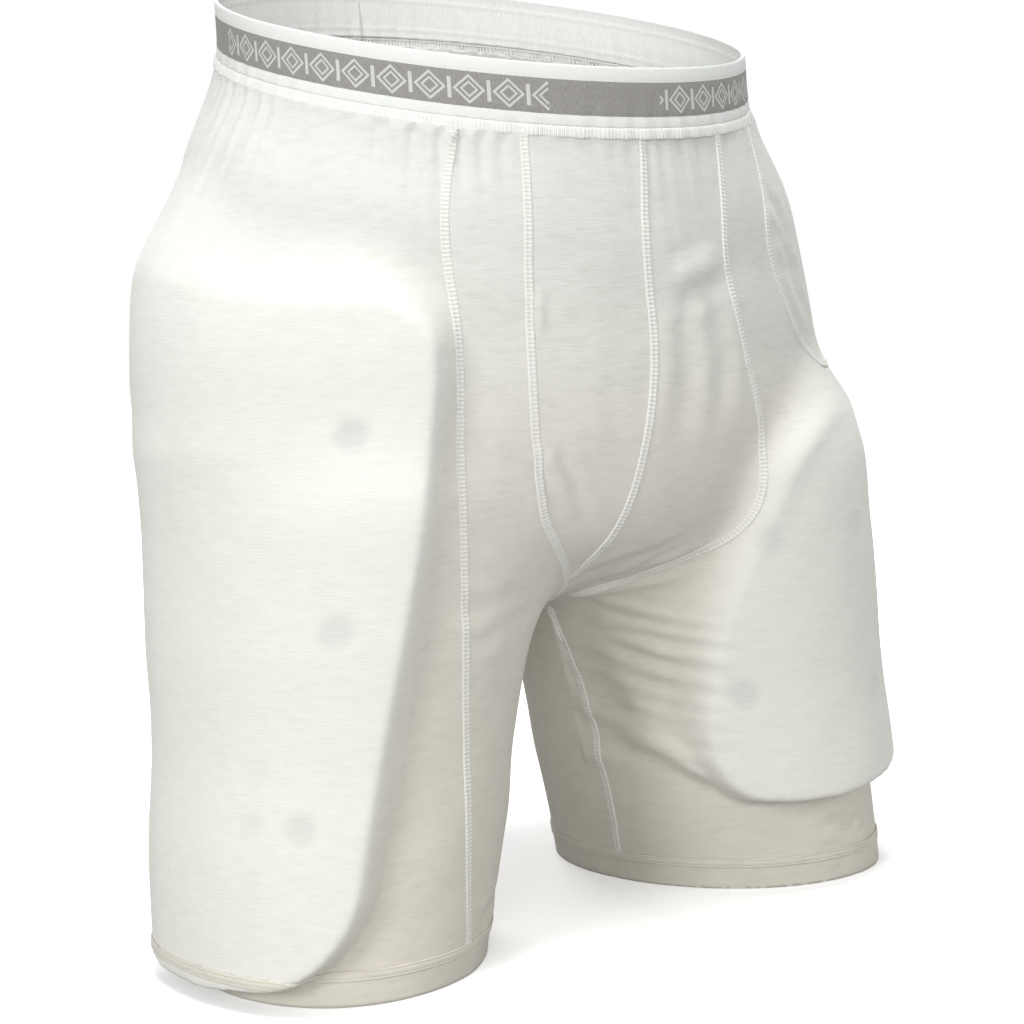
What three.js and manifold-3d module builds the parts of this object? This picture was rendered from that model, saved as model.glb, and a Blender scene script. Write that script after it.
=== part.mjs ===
// Padded shorts in cotton jersey, in the shape they take when worn, standing on their leg hems.
// Millimetres, +Z up. The front faces -Y and the wearer's right leg is at -X.
import * as THREE from "three";
import { mergeVertices } from "three/addons/utils/BufferGeometryUtils.js";
import Module from "manifold-3d";

const wasm = await Module();
wasm.setup();
const { lerp, clamp, degToRad } = THREE.MathUtils;

// Heights above the hems, taken on the body's own middle line
const waistHeight = 487;
const hipHeight = 290;
const crotchHeight = 172;

// Half sizes of the oval sections: side to side, then front to back
const waistHalfWidth = 146.5;
const waistHalfDepth = 129.3;
const hipHalfWidth = 194;
const hipHalfDepth = 139;
const thighHalfWidth = 93;
const thighHalfDepth = 117;
const hemHalfWidth = 77.5;
const hemHalfDepth = 103.5;

// The legs stand apart and turn their toes out
const hemSpread = 131.5;
const thighInset = 13; // from the hip's side in to the thigh's
const thighSpread = hipHalfWidth - thighHalfWidth - thighInset;
const toeOut = degToRad(17);
const waistTilt = 0.31; // rise of the waistband towards the back, per millimetre
const legTop = hipHeight + 10;
const legTopTaper = 9;

// Cloth, seams and trims
const fabric = 2;
const gap = 0.3;
const bandHeight = 35;
const bindingHeight = 5;
const hemHeight = 17;
const seamWidth = 5;
const seamHeight = 0.7;
const innerSeamPlace = -10; // the inner leg seams lie a little in front of the middle
const labelWidth = 30;
const labelHeight = 34;
const labelX = 25;

// Each thigh pad: a vented board over foam. Turns go from straight ahead towards the outside, lowest first.
const ventRadius = 10;
const ventPlugLength = 50;
const ventPlugDepth = 8; // its middle, out from the cloth
const meanReach = 100; // from a leg's middle line, turns a clearance into an angle
const cornerRounding = 0.35; // of a pad's outline
const layerGap = 0.6;
const coverGap = 0.8;
const pocketEase = 1;
const besidePocket = 4; // degrees from a pocket's edge to the seam that runs down beside it
const throughCloth = 12; // how far a pocket's cutter reaches in past the cloth
const rightPad = {
  side: -1,
  bottom: 22,
  top: 358,
  innerTurn: [20, 5],
  outerTurn: [112, 130],
  foam: 9.3,
  board: 3.8,
  bevel: 13,
  vents: [
    [34, 276], [35, 184], [40, 90],
    [72, 276], [70, 184], [66, 90],
    [106, 276], [102, 184],
  ],
};
const leftPad = {
  side: 1,
  bottom: 46,
  top: 288,
  innerTurn: [-44, 6],
  outerTurn: [56, 62],
  foam: 8.3,
  board: 3.8,
  bevel: 13,
  vents: [
    [-12, 200], [-22, 116], [18, 203], [22, 108],
    [46, 200], [48, 108],
  ],
};

const bandLow = waistHeight - bandHeight;
const bindingTop = bandLow + bindingHeight;
const creaseHeight = hipHeight - 40; // below this the trunk gives way to the legs
const beyond = 400; // past the garment on every side

// Solids

function solidOf(geometry) {
  geometry.deleteAttribute("normal");
  geometry.deleteAttribute("uv");
  const merged = mergeVertices(geometry, 1e-4);
  const vertProperties = merged.attributes.position.array;
  const triVerts = new Uint32Array(merged.index.array);
  return new wasm.Manifold(new wasm.Mesh({ numProp: 3, vertProperties, triVerts }));
}

// Moves every point of a geometry to where place() says, and makes a solid of it.
function shaped(geometry, place) {
  const position = geometry.attributes.position;
  const point = new THREE.Vector3();
  for (let i = 0; i < position.count; i++) {
    place(point.fromBufferAttribute(position, i));
    position.setXYZ(i, point.x, point.y, point.z);
  }
  return solidOf(geometry);
}

const joined = (solids) => solids.reduce((whole, solid) => whole.add(solid));

// A closed body from an upright cylinder: place() gets the turn, the share of height and the share of radius.
function loft(around, rings, place) {
  const cylinder = new THREE.CylinderGeometry(1, 1, 1, around, rings);
  return shaped(cylinder, (p) => p.copy(place(Math.atan2(p.x, p.z), p.y + 0.5, Math.hypot(p.x, p.z))));
}

// Body form

// Trunk sections, each [share of the height, share of the half width, share of the half depth]
const belowHip = [
  [0, 0.07, 0.19], [0.12, 0.22, 0.53], [0.26, 0.44, 0.78], [0.47, 0.77, 0.92], [0.7, 0.98, 0.98],
];
const aboveHip = [
  [0.25, 0.96, 0.95], [0.5, 0.79, 0.79], [0.71, 0.62, 0.64], [0.86, 0.35, 0.4], [1, 0.06, 0.1],
];

const trunkSections = new THREE.CatmullRomCurve3([
  ...belowHip.map(([rise, width, depth]) => new THREE.Vector3(
    hipHalfWidth * width, hipHalfDepth * depth, lerp(crotchHeight, hipHeight, rise))),
  new THREE.Vector3(hipHalfWidth, hipHalfDepth, hipHeight),
  ...aboveHip.map(([rise, width, depth]) => new THREE.Vector3(
    lerp(waistHalfWidth, hipHalfWidth, width),
    lerp(waistHalfDepth, hipHalfDepth, depth),
    lerp(hipHeight, bandLow, rise))),
  new THREE.Vector3(waistHalfWidth, waistHalfDepth, waistHeight),
]);

// Leg sections from the hem up, as shares of the way from the hem's size to the thigh's
const legSections = new THREE.CatmullRomCurve3(
  [[0, 0], [0.39, 0.15], [0.45, 0.33], [0.87, 0.78], [1, 1], [1, 1]].map(([width, depth], i, rows) => {
    const taper = i === rows.length - 1 ? legTopTaper : 0;
    return new THREE.Vector3(
      lerp(hemHalfWidth, thighHalfWidth, width) - taper,
      lerp(hemHalfDepth, thighHalfDepth, depth) - taper,
      0);
  }));

const tiltAt = (level) => waistTilt * clamp((level - creaseHeight) / (bandLow - creaseHeight), 0, 1);

// The trunk's section at a level, or null below the crotch
function trunkSection(level) {
  const stations = trunkSections.points.map((p) => p.z);
  const last = stations.length - 1;
  const above = stations.findIndex((z) => z > level);
  if (above === 0) return null;
  const next = above < 0 ? last : above;
  const inside = clamp((level - stations[next - 1]) / (stations[next] - stations[next - 1]), 0, 1);
  return trunkSections.getPoint((next - 1 + inside) / last);
}

function legSection(z) {
  const share = clamp(z / legTop, 0, 1);
  const half = legSections.getPoint(share);
  return { half, spread: lerp(hemSpread, thighSpread, share), toe: toeOut * (1 - share) };
}

// proud is how far the form stands out from the cloth's outer face; extra carries it on past its open end.
function trunkForm(proud, extra) {
  const stages = trunkSections.points.length - 1;
  const rings = extra ? stages + 1 : stages;
  return loft(28, rings, (turn, share, radius) => {
    const step = Math.round(share * rings);
    const section = trunkSections.getPoint(Math.min(1, step / stages));
    const drop = proud * clamp((hipHeight - section.z) / (hipHeight - crotchHeight), 0, 1);
    const level = section.z - drop + (step > stages ? extra : 0);
    const y = -Math.cos(turn) * (section.y + proud) * radius;
    return new THREE.Vector3(Math.sin(turn) * (section.x + proud) * radius, y, level + tiltAt(level) * y);
  });
}

function legForm(side, proud, extra) {
  const stages = 5;
  const rings = extra ? stages + 1 : stages;
  return loft(24, rings, (turn, share, radius) => {
    const step = stages - Math.round((1 - share) * rings);
    const z = step < 0 ? -extra : (legTop * step) / stages;
    const { half, spread, toe } = legSection(z);
    const across = Math.sin(turn) * (half.x + proud) * radius;
    const along = -Math.cos(turn) * (half.y + proud) * radius;
    return new THREE.Vector3(
      side * spread + across * Math.cos(toe) - side * along * Math.sin(toe),
      side * across * Math.sin(toe) + along * Math.cos(toe),
      z);
  });
}

// Pads

// Distance from a leg's middle line to the cloth, towards the given turn at the given height.
function reach(side, turn, z) {
  const { half, spread, toe } = legSection(z);
  const across = (Math.sin(turn) * Math.cos(toe) - Math.cos(turn) * Math.sin(toe)) / half.x;
  const along = (Math.sin(turn) * Math.sin(toe) + Math.cos(turn) * Math.cos(toe)) / half.y;
  const leg = 1 / Math.hypot(across, along);
  let trunk = 0;
  for (let round = 0; round < 5; round++) {
    const level = z + Math.cos(turn) * trunk * tiltAt(z);
    const section = trunkSection(level);
    if (!section) break;
    const a = (Math.sin(turn) / section.x) ** 2 + (Math.cos(turn) / section.y) ** 2;
    const b = (Math.sin(turn) * spread) / section.x ** 2;
    const c = (spread / section.x) ** 2 - 1;
    const root = b * b - a * c;
    trunk = root > 0 ? Math.max(0, (Math.sqrt(root) - b) / a) : 0;
  }
  return Math.max(leg, trunk);
}

const padBulge = (pad) => gap + pad.foam + layerGap + pad.board + coverGap + fabric;

function padPoint(pad, turn, z, depth) {
  const radius = reach(pad.side, turn, z) + depth;
  const { spread } = legSection(z);
  return new THREE.Vector3(pad.side * (spread + Math.sin(turn) * radius), -Math.cos(turn) * radius, z);
}

// A slab that follows the leg from one depth to another. Its edges slope in by the pad's bevel.
function padSlab(pad, near, far, clearance) {
  const box = new THREE.BoxGeometry(2, 2, 1, 8, 6, 1);
  return shaped(box, (p) => {
    const depth = lerp(near, far, p.z + 0.5);
    const inset = clearance + (pad.bevel * depth) / padBulge(pad);
    const u = pad.side * p.x * Math.sqrt(1 - (cornerRounding * p.y * p.y) / 2);
    const v = p.y * Math.sqrt(1 - (cornerRounding * p.x * p.x) / 2);
    const z = lerp(pad.bottom + inset, pad.top - inset, (v + 1) / 2);
    const inner = degToRad(lerp(...pad.innerTurn, (v + 1) / 2)) + inset / meanReach;
    const outer = degToRad(lerp(...pad.outerTurn, (v + 1) / 2)) - inset / meanReach;
    p.copy(padPoint(pad, lerp(inner, outer, (u + 1) / 2), z, depth));
  });
}

function ventPlugs(pad) {
  return joined(pad.vents.map(([degrees, z]) => {
    const turn = degToRad(degrees);
    const middle = padPoint(pad, turn, z, ventPlugDepth);
    const plug = new THREE.CylinderGeometry(ventRadius, ventRadius, ventPlugLength, 12);
    plug.rotateX(Math.PI / 2).rotateZ(pad.side * turn).translate(middle.x, middle.y, middle.z);
    return solidOf(plug);
  }));
}

// Cutters

function box(low, high) {
  const size = high.map((value, i) => value - low[i]);
  const middle = high.map((value, i) => (value + low[i]) / 2);
  return solidOf(new THREE.BoxGeometry(...size).translate(...middle));
}

// Everything above a level of the trunk, which rises towards the back as the waistband does.
function aboveLevel(level) {
  const block = new THREE.BoxGeometry(2 * beyond, 2 * beyond, beyond).translate(0, 0, level + beyond / 2);
  return shaped(block, (p) => p.setZ(p.z + waistTilt * p.y));
}

// A shape drawn in front elevation, run from one depth to another.
function prism(points, yLow, yHigh) {
  const shape = new THREE.Shape(points);
  const slab = new THREE.ExtrudeGeometry(shape, { depth: yHigh - yLow, bevelEnabled: false });
  return solidOf(slab.rotateX(Math.PI / 2).translate(0, yHigh, 0));
}

// The left leg's cloth between two turns, from below the hem up to the left pocket's corner
function leftSector(from, to) {
  const block = new THREE.BoxGeometry(2, 2, 1, 8, 6, 1);
  return shaped(block, (p) => {
    const z = lerp(-bandHeight, leftPad.top, (p.y + 1) / 2);
    const { spread } = legSection(z);
    const turn = lerp(from, to, (p.x + 1) / 2);
    const radius = lerp(5, beyond, p.z + 0.5);
    p.set(spread + Math.sin(turn) * radius, -Math.cos(turn) * radius, z);
  });
}

const besideLeftPad = degToRad(Math.max(...leftPad.outerTurn) + besidePocket);
const seamTurn = (width) => width / 2 / thighHalfDepth;
const besideWall = (width) => leftSector(besideLeftPad - seamTurn(width), besideLeftPad + seamTurn(width));

// Seam lines, each in front elevation: [x, rise], where 0 is the crotch, 1 the waist and -1 the hem

const heightAt = (rise) => (rise < 0 ? crotchHeight * (1 + rise) : lerp(crotchHeight, waistHeight, rise));

const at = ([x, rise]) => new THREE.Vector2(x, heightAt(rise));
const line = (rows) => new THREE.SplineCurve(rows.map(at)).getPoints(10);

const backLine = [[-84, 1.4], [-92, 0.8], [-103, 0.45], [-112, 0], [-117, -0.5], [-119, -1.1]];
const mirrored = (rows) => rows.map(([x, rise]) => [-x, rise]);
const cornerPoint = padPoint(leftPad, besideLeftPad, leftPad.top, 0);
const pocketCorner = new THREE.Vector2(cornerPoint.x, cornerPoint.z);
const centreEnd = [-27, 0.05]; // the centre seam runs into the right pouch seam here
const rightPouchUpper = line([[-58, 1.2], [-62, 0.78], [-70, 0.55], [-72, 0.3], [-62, 0.17], centreEnd]);
const rightPouchLower = line([centreEnd, [-12, 0.01], [0, 0]]).slice(1);
const frontSeams = {
  right_front_seam: line([
    [-88, 1.2], [-92, 0.8], [-105, 0.64], [-106, 0.5], [-110, 0.1], [-109, -0.4], [-108, -1.1],
  ]),
  right_pouch_seam: [...rightPouchUpper, ...rightPouchLower],
  left_pouch_seam: line([[62, 1.2], [60, 0.78], [52, 0.56], [62, 0.4], [74, 0.27], [56, 0.09], [0, 0]]),
  centre_front_seam: line([[6, 1.2], [2, 0.77], [-4, 0.6], [-5, 0.4], [-15, 0.23], centreEnd]),
  left_front_seam: new THREE.SplineCurve([
    ...[[92, 1.2], [99, 0.72], [96, 0.56], [121, 0.43]].map(at),
    pocketCorner,
  ]).getPoints(10),
};
const backSeams = {
  right_back_seam: line(backLine),
  left_back_seam: line(mirrored(backLine)),
  centre_back_seam: line([[0, 1.4], [0, 0.5], [0, 0]]),
};

// A band of even width along a seam line.
function alongSeam(points, width, yLow, yHigh) {
  const edge = (side) => points.map((point, i) => {
    const ahead = points[Math.min(i + 1, points.length - 1)];
    const behind = points[Math.max(i - 1, 0)];
    const across = ahead.clone().sub(behind).normalize().rotateAround(new THREE.Vector2(), Math.PI / 2);
    return point.clone().addScaledVector(across, (side * width) / 2);
  });
  return prism([...edge(1), ...edge(-1).reverse()], yLow, yHigh);
}

const frontHalf = [-beyond, innerSeamPlace];
const sideHalf = [-beyond, 0.5];
const backHalf = [innerSeamPlace, beyond];
const farSideHalf = [-0.5, beyond];

// The region between two seam lines that both run from top to bottom.
const between = (left, right, half) => prism([...left, ...[...right].reverse()], ...half);
const upright = (x) => [new THREE.Vector2(x, 2 * waistHeight), new THREE.Vector2(x, -beyond)];
const toHem = (points) => [...points, new THREE.Vector2(0, -beyond)];
const farOut = (z) => new THREE.Vector2(beyond, z);
const outwards = (points) => [...points, farOut(pocketCorner.y), farOut(-beyond)];

// Shell

const pads = [rightPad, leftPad];

function bodyForm(proud, extra) {
  const form = joined([trunkForm(proud, extra), legForm(-1, proud, extra), legForm(1, proud, extra)]);
  if (proud < 0) return form;
  const pocket = (pad) => padSlab(pad, 2 * fabric - throughCloth, padBulge(pad) + proud, -fabric - proud);
  return joined([form, ...pads.map(pocket)]);
}

const layer = (outer, inner) => bodyForm(outer, 0).subtract(bodyForm(inner, 2 * bandHeight));
const cavity = (pad) => padSlab(pad, -throughCloth, padBulge(pad) - fabric, 0);
const padSpace = (pad) => padSlab(pad, -throughCloth, padBulge(pad) - fabric - coverGap, pocketEase);

const lining = bodyForm(-fabric, 2 * bandHeight);
const bareForm = (proud) => joined([trunkForm(proud, 0), legForm(-1, proud, 0), legForm(1, proud, 0)]);
const bareShell = bareForm(0).subtract(lining);
const shell = bodyForm(0, 0).subtract(lining).subtract(joined(pads.map(cavity)));

const seamGaps = joined([
  ...Object.values(frontSeams).map((points) => alongSeam(points, gap, -beyond, 0)),
  ...Object.values(backSeams).map((points) => alongSeam(points, gap, 0, beyond)),
  besideWall(gap),
  box([-hemSpread, innerSeamPlace - gap / 2, -beyond], [hemSpread, innerSeamPlace + gap / 2, hipHeight]),
]);
const panelCloth = shell
  .subtract(aboveLevel(bandLow - gap))
  .subtract(box([-beyond, -beyond, -beyond], [beyond, beyond, hemHeight + gap]))
  .subtract(seamGaps);

const { right_front_seam, right_pouch_seam, left_pouch_seam, centre_front_seam, left_front_seam } = frontSeams;
const { right_back_seam, left_back_seam, centre_back_seam } = backSeams;

const panelRegions = {
  right_side_panel: between(upright(-beyond), right_front_seam, sideHalf)
    .add(between(upright(-beyond), right_back_seam, farSideHalf)),
  right_front_panel: between(right_front_seam, toHem(right_pouch_seam), frontHalf),
  right_pouch_panel: between(rightPouchUpper, centre_front_seam, frontHalf),
  left_pouch_panel: between([...centre_front_seam, ...rightPouchLower], left_pouch_seam, frontHalf),
  left_front_panel: between(toHem(left_pouch_seam), outwards(left_front_seam), frontHalf)
    .subtract(leftSector(besideLeftPad, Math.PI)),
  left_side_panel: prism([...left_front_seam, farOut(pocketCorner.y), farOut(2 * waistHeight)], ...sideHalf)
    .add(between(left_back_seam, upright(beyond), farSideHalf))
    .add(leftSector(besideLeftPad, Math.PI / 2)),
  right_seat_panel: between(right_back_seam, toHem(centre_back_seam), backHalf),
  left_seat_panel: between(toHem(centre_back_seam), left_back_seam, backHalf),
};

// Finished pieces

const group = new THREE.Group();
const finishes = {
  jersey: { color: 0xeceee9, roughness: 0.9 },
  elastic: { color: 0xe2e6e2, roughness: 0.8 },
  thread: { color: 0xf2f2ee, roughness: 0.7 },
  board: { color: 0xd8d9d6, roughness: 0.55 },
  foam: { color: 0xc9cbc8, roughness: 0.95 },
  mesh: { color: 0xdcdedb, roughness: 0.85 },
  label: { color: 0xf4f4f2, roughness: 0.6 },
};
const materialOf = (look) => new THREE.MeshStandardMaterial({ metalness: 0, ...look });
const materials = Object.fromEntries(
  Object.entries(finishes).map(([name, look]) => [name, materialOf(look)]));

function add(name, solid, finish) {
  const { numProp, vertProperties, triVerts } = solid.getMesh();
  const geometry = new THREE.BufferGeometry();
  const points = new THREE.InterleavedBuffer(vertProperties, numProp);
  geometry.setAttribute("position", new THREE.InterleavedBufferAttribute(points, 3, 0));
  geometry.setIndex(new THREE.BufferAttribute(triVerts, 1));
  const mesh = new THREE.Mesh(geometry, materials[finish]);
  mesh.name = name;
  group.add(mesh);
}

for (const [name, region] of Object.entries(panelRegions)) add(name, panelCloth.intersect(region), "jersey");

// The cup pocket behind the pouch
const pouchOutline = [
  [-50, 0.72], [46, 0.72], [56, 0.35], [50, 0.2], [24, 0.12], [-12, 0.12], [-44, 0.2], [-60, 0.35],
];
const pouchBack = -20; // the pocket stays in front of this
const pouchPrism = prism(pouchOutline.map(at), -beyond, pouchBack);
add("cup_pocket_lining", layer(-fabric - gap, -2 * fabric).intersect(pouchPrism), "mesh");

// Waistband and leg hems
const bandProud = 1;
const hemProud = 0.5;
const band = trunkForm(bandProud, 0).subtract(trunkForm(-fabric - gap, 2 * bandHeight));
add("waistband_elastic", band.intersect(aboveLevel(bindingTop + gap)), "elastic");
add("waistband_binding", band.intersect(aboveLevel(bandLow)).subtract(aboveLevel(bindingTop)), "elastic");
for (const [name, side] of [["right_hem_band", -1], ["left_hem_band", 1]]) {
  const tube = legForm(side, hemProud, 0).subtract(legForm(side, -fabric - hemProud, hemHeight));
  add(name, tube.intersect(box([-beyond, -beyond, -1], [beyond, beyond, hemHeight])), "jersey");
}

// Thigh pads in their pockets
for (const [leg, pad] of [["right", rightPad], ["left", leftPad]]) {
  const vents = ventPlugs(pad);
  const space = padSpace(pad);
  const foamTop = gap + pad.foam;
  const boardLow = foamTop + layerGap;
  const pastEdges = -2 * pad.bevel;
  const foam = space.intersect(padSlab(pad, -throughCloth, foamTop, pastEdges)).subtract(bareForm(gap));
  const board = space.subtract(padSlab(pad, -2 * throughCloth, boardLow, pastEdges));
  add(leg + "_pad_foam", foam.subtract(vents), "foam");
  add(leg + "_pad_board", board.subtract(vents), "board");
  add(leg + "_pocket_lining", bareShell.intersect(space), "mesh");
}

// Raised flatlock seams over the joins
const seamCloth = layer(gap + seamHeight, gap)
  .subtract(aboveLevel(bandLow - gap))
  .subtract(box([-beyond, -beyond, -beyond], [beyond, beyond, hemHeight + gap]));
let taken = null;
function addSeam(name, region) {
  add(name, seamCloth.intersect(taken ? region.subtract(taken) : region), "thread");
  return name;
}
for (const [name, points] of Object.entries(frontSeams)) {
  const run = alongSeam(points, seamWidth, -beyond, innerSeamPlace);
  addSeam(name, name === "left_front_seam" ? run.add(besideWall(seamWidth)) : run);
  const used = alongSeam(points, seamWidth + 2 * gap, -beyond, innerSeamPlace);
  taken = taken ? taken.add(used) : used;
}
for (const [name, points] of Object.entries(backSeams)) {
  addSeam(name, alongSeam(points, seamWidth, innerSeamPlace + seamWidth, beyond));
}
for (const [name, side] of [["right_inner_leg_seam", -1], ["left_inner_leg_seam", 1]]) {
  const ends = [side * fabric, side * hemSpread];
  addSeam(name, box(
    [Math.min(...ends), innerSeamPlace - seamWidth / 2, 0],
    [Math.max(...ends), innerSeamPlace + seamWidth / 2, crotchHeight - 2 * seamWidth]));
}

// Blank care label inside the back of the waist
const labelThickness = 0.8;
add("care_label", layer(-fabric - gap, -fabric - gap - labelThickness)
  .intersect(box([labelX, 0, 0], [labelX + labelWidth, beyond, beyond * 2]))
  .subtract(aboveLevel(bandLow - gap))
  .intersect(aboveLevel(bandLow - gap - labelHeight)), "label");

// The frame's origin is under the middle of the garment's box
const bounds = new THREE.Box3().setFromObject(group);
const middle = bounds.getCenter(new THREE.Vector3());
group.position.set(-middle.x, -middle.y, -bounds.min.z);
const shorts = new THREE.Group();
shorts.add(group);

export default shorts;
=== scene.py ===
import math
import bmesh
import bpy
import numpy as np
from mathutils import Matrix, Vector, noise
from mathutils.bvhtree import BVHTree


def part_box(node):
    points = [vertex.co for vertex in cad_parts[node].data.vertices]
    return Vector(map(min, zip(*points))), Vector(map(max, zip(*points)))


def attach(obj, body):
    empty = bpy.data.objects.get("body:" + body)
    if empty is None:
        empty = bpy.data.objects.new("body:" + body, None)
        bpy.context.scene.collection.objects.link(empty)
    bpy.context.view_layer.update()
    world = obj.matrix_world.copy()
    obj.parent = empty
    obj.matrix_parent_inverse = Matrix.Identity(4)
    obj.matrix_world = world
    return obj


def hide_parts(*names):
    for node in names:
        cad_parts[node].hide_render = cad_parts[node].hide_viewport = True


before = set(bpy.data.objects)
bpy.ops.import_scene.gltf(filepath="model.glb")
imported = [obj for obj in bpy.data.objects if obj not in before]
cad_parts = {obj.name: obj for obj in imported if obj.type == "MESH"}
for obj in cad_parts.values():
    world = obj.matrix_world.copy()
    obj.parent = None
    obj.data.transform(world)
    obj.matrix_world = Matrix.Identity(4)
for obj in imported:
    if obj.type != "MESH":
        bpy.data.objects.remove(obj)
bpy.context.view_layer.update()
scene = bpy.context.scene
print("frame loaded:", len(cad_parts), "nodes")

mm = 0.001
bandLow, bandHigh = (Vector(corner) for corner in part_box("waistband_elastic"))
# the garment's own middle, in millimetres
middle = np.array([bandLow.x + bandHigh.x, bandLow.y + bandHigh.y, 0.0]) / 2 / mm
rootBody = "root"


# Everything below works in millimetres from the garment's middle, until toMetres puts it in the frame.
def smoothThrough(x, stations, values):
    stations, values = np.asarray(stations, float), np.asarray(values, float)
    slopes = np.gradient(values, stations)
    i = np.clip(np.searchsorted(stations, x) - 1, 0, len(stations) - 2)
    span = stations[i + 1] - stations[i]
    t = np.clip((x - stations[i]) / span, 0, 1)
    start, end = values[i], values[i + 1]
    return (
        (2 * t**3 - 3 * t**2 + 1) * start + (t**3 - 2 * t**2 + t) * span * slopes[i]
        + (3 * t**2 - 2 * t**3) * end + (t**3 - t**2) * span * slopes[i + 1]
    )


def easeStep(x, low, high):
    t = np.clip((x - low) / (high - low), 0, 1)
    return t * t * (3 - 2 * t)


def toMetres(points):
    return (points + middle) * mm


def readPoints(mesh):
    flat = np.empty(len(mesh.vertices) * 3, np.float32)
    mesh.vertices.foreach_get("co", flat)
    return flat.reshape(-1, 3).astype(float) / mm - middle


def writePoints(mesh, points):
    mesh.vertices.foreach_set("co", toMetres(points).astype(np.float32).ravel())
    mesh.update()


def readNormals(mesh):
    flat = np.empty(len(mesh.vertices) * 3, np.float32)
    mesh.vertex_normals.foreach_get("vector", flat)
    return flat.reshape(-1, 3).astype(float)


def newPiece(name, bm):
    mesh = bpy.data.meshes.new(name)
    bm.to_mesh(mesh)
    bm.free()
    piece = bpy.data.objects.new(name, mesh)
    scene.collection.objects.link(piece)
    for face in mesh.polygons:
        face.use_smooth = True
    return piece


def applyModifiers(piece):
    shown = piece.evaluated_get(bpy.context.evaluated_depsgraph_get())
    made = bpy.data.meshes.new_from_object(shown)
    old = piece.data
    piece.modifiers.clear()
    piece.data = made
    bpy.data.meshes.remove(old)


def giveThickness(piece, thickness, offset=-1.0):
    wall = piece.modifiers.new("cloth", "SOLIDIFY")
    wall.thickness, wall.offset, wall.use_even_offset = thickness * mm, offset, False


# A grid whose two shares, from 0 to 1, place() turns into points.
# The shares also make the piece's UV map, in metres.
def mappedGrid(columns, rows, place, size=(1.0, 1.0), wrapped=False):
    bm = bmesh.new()
    bmesh.ops.create_grid(bm, x_segments=columns, y_segments=rows, size=0.5)
    shares = np.array([v.co[:2] for v in bm.verts]) + 0.5
    points = toMetres(place(shares[:, 0], shares[:, 1]))
    clothMap = bm.loops.layers.uv.new("cloth")
    for face in bm.faces:
        for loop in face.loops:
            u, v = shares[loop.vert.index]
            loop[clothMap].uv = ((u - 0.5) * size[0], v * size[1])
    for vert, point in zip(bm.verts, points):
        vert.co = point
    if wrapped:
        bmesh.ops.remove_doubles(bm, verts=bm.verts, dist=0.00002)
    return bm


trunk = {
    "waist": (146.5, 129.3), "hip": (194.0, 139.0),  # half width, half depth
    "waistLevel": 487.0, "hipLevel": 290.0, "crotchLevel": 172.0, "bandLevel": 452.0,
    "tilt": 0.31, "tiltFrom": 250.0, "tiltOver": 202.0,
    # shares of the height to the hip and above it, then of the width and the depth
    "belowHip": [
        (0, 0.07, 0.19), (0.12, 0.22, 0.53), (0.26, 0.44, 0.78), (0.47, 0.77, 0.92), (0.7, 0.98, 0.98),
    ],
    "aboveHip": [
        (0.25, 0.96, 0.95), (0.5, 0.79, 0.79), (0.71, 0.62, 0.64), (0.86, 0.35, 0.4), (1, 0.06, 0.1),
    ],
}
leg = {
    "hem": (77.5, 103.5), "thigh": (93.0, 117.0), "top": 300.0, "taper": 9.0,
    "spread": (131.5, 88.0), "toe": math.radians(17),
    "rows": [(0, 0), (0.39, 0.15), (0.45, 0.33), (0.87, 0.78), (1, 1), (1, 1)],
}


def mix(a, b, share):
    return a + (b - a) * share


trunkStations = [
    (mix(trunk["crotchLevel"], trunk["hipLevel"], rise), trunk["hip"][0] * w, trunk["hip"][1] * d)
    for rise, w, d in trunk["belowHip"]
] + [(trunk["hipLevel"], *trunk["hip"])] + [
    (
        mix(trunk["hipLevel"], trunk["bandLevel"], rise),
        mix(trunk["waist"][0], trunk["hip"][0], w), mix(trunk["waist"][1], trunk["hip"][1], d),
    )
    for rise, w, d in trunk["aboveHip"]
] + [(trunk["waistLevel"], *trunk["waist"]), (trunk["waistLevel"] + 60, *trunk["waist"])]


def trunkHalf(level):
    levels, widths, depths = zip(*trunkStations)
    return smoothThrough(level, levels, widths), smoothThrough(level, levels, depths)


def tiltAt(level):
    return trunk["tilt"] * np.clip((level - trunk["tiltFrom"]) / trunk["tiltOver"], 0, 1)


def levelOf(points):  # the height that a point would have if the waist weren't tilted
    level = points[:, 2].copy()
    for _ in range(6):
        level = points[:, 2] - tiltAt(level) * points[:, 1]
    return level


def trunkPoint(turn, level, out=0.0):
    halfWidth, halfDepth = trunkHalf(level)
    y = -(halfDepth + out) * np.cos(turn)
    return np.stack([(halfWidth + out) * np.sin(turn), y, level + tiltAt(level) * y], axis=1)


def legSpread(z):
    return mix(leg["spread"][0], leg["spread"][1], np.clip(z / leg["top"], 0, 1))


def legPoint(side, turn, z, out=0.0):
    shares = np.linspace(0, 1, len(leg["rows"]))
    share = np.clip(z / leg["top"], 0, 1)
    taper = np.array([0, 0, 0, 0, 0, leg["taper"]])
    half = []
    for i in (0, 1):
        thickness = np.array([row[i] for row in leg["rows"]])
        half.append(smoothThrough(share, shares, mix(leg["hem"][i], leg["thigh"][i], thickness) - taper))
    across, along = np.sin(turn) * (half[0] + out), -np.cos(turn) * (half[1] + out)
    toe = leg["toe"] * (1 - share)
    return np.stack([
        side * legSpread(z) + across * np.cos(toe) - side * along * np.sin(toe),
        side * across * np.sin(toe) + along * np.cos(toe),
        z + 0 * across,
    ], axis=1)


def legTurn(side, points):  # degrees from straight ahead towards the outside, round the leg's middle line
    return np.degrees(np.arctan2(side * points[:, 0] - legSpread(points[:, 2]), -points[:, 1]))


skinSettings = {
    "voxel": 4.0, "pastWaist": 30.0, "pastHem": 24.0, "smoothing": 14, "bridging": 110, "cloth": 1.5,
}


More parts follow.
